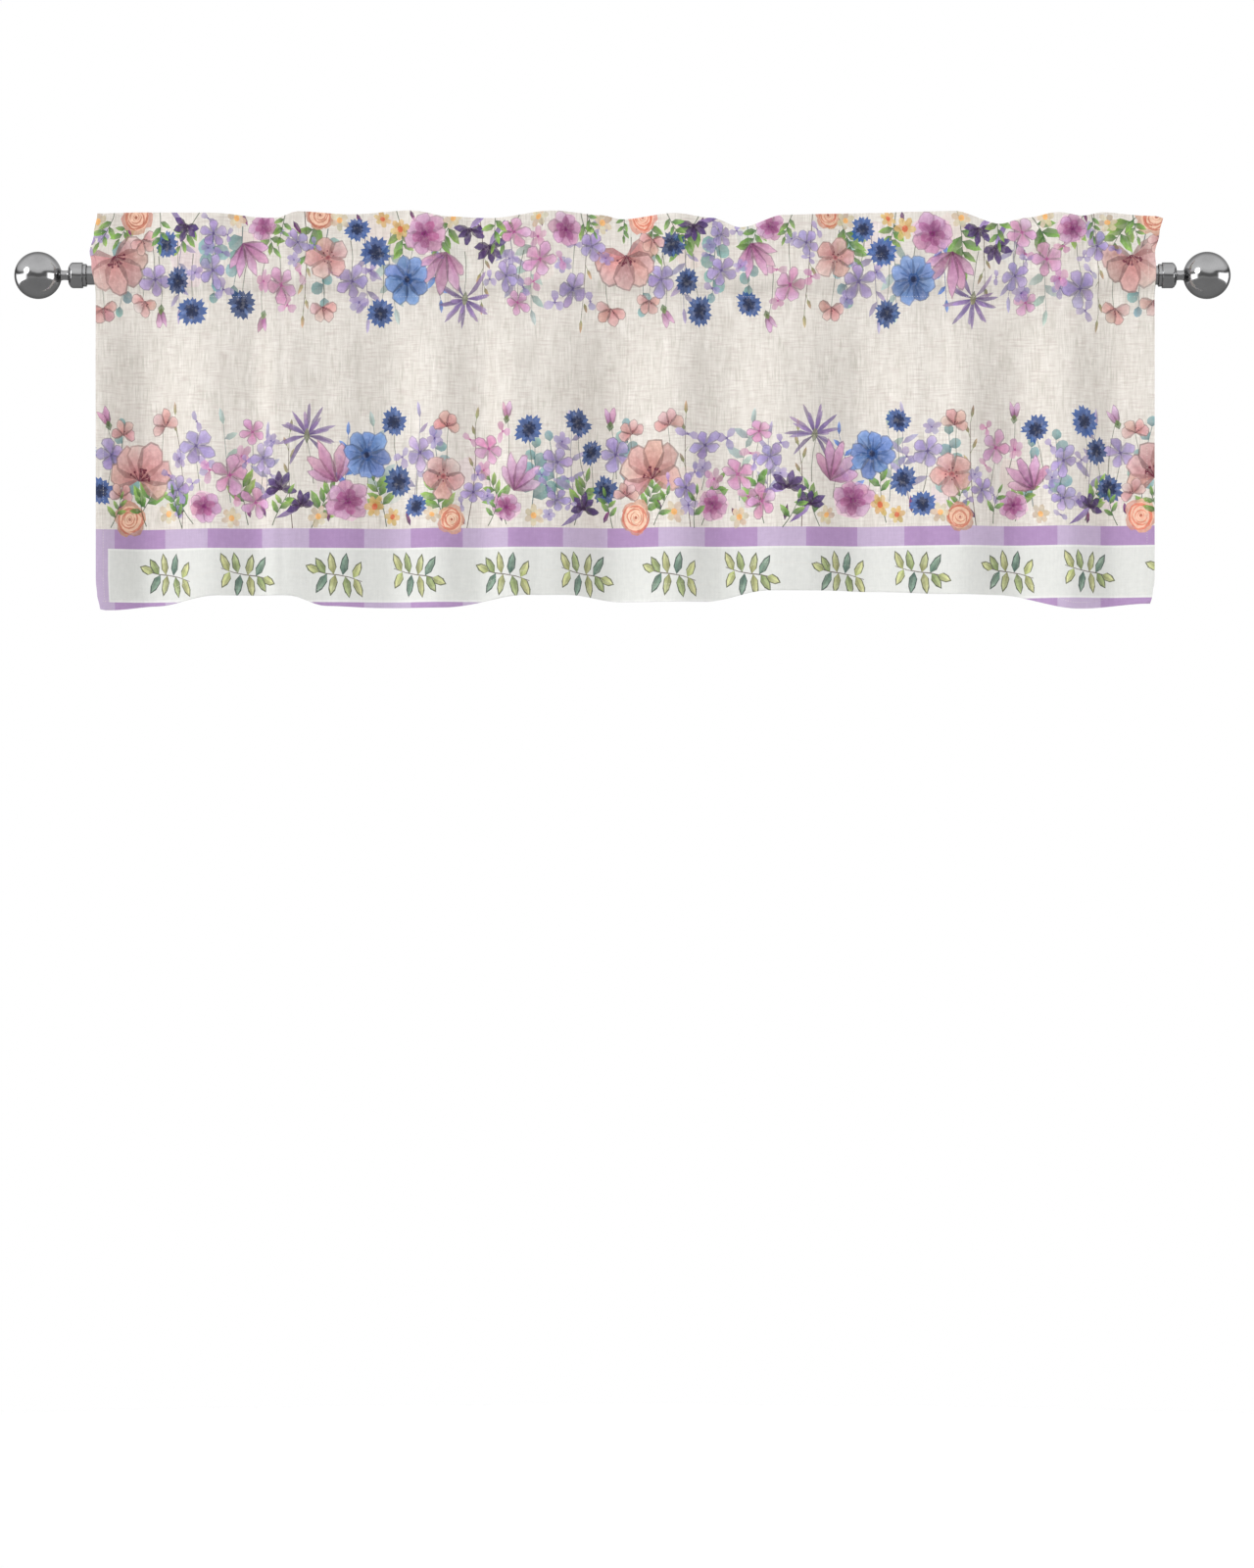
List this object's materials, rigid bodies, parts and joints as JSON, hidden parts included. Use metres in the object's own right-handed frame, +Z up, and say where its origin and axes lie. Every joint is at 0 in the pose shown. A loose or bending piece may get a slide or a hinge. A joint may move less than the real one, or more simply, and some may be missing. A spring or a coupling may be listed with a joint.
{
  "type": "window valance and curtain rod",
  "caption": "Short printed window valance with a ruffled heading and a rod pocket, gathered on a round metal curtain rod with ball finials.",
  "frame": {"origin": "the middle of the curtain rod, on the rod's own axis", "axes": "+X along the rod, to the right as seen from the room; -Y towards the room; +Y towards the wall; +Z up"},
  "size_m": [1.418, 0.0544, 0.4676],
  "materials": {
    "cloth": "matt woven cloth with a linen look, printed with borders of flowers, a lavender check band and a white band of leaf sprigs",
    "rod": "polished metal",
    "finial": "polished metal, slightly dark"
  },
  "bodies": {
    "root": {"valance": "cloth", "rod_tube": "rod", "collar_left": "finial", "collar_right": "finial", "neck_left": "finial", "neck_right": "finial", "ball_left": "finial", "ball_right": "finial"}
  },
  "joints": []
}
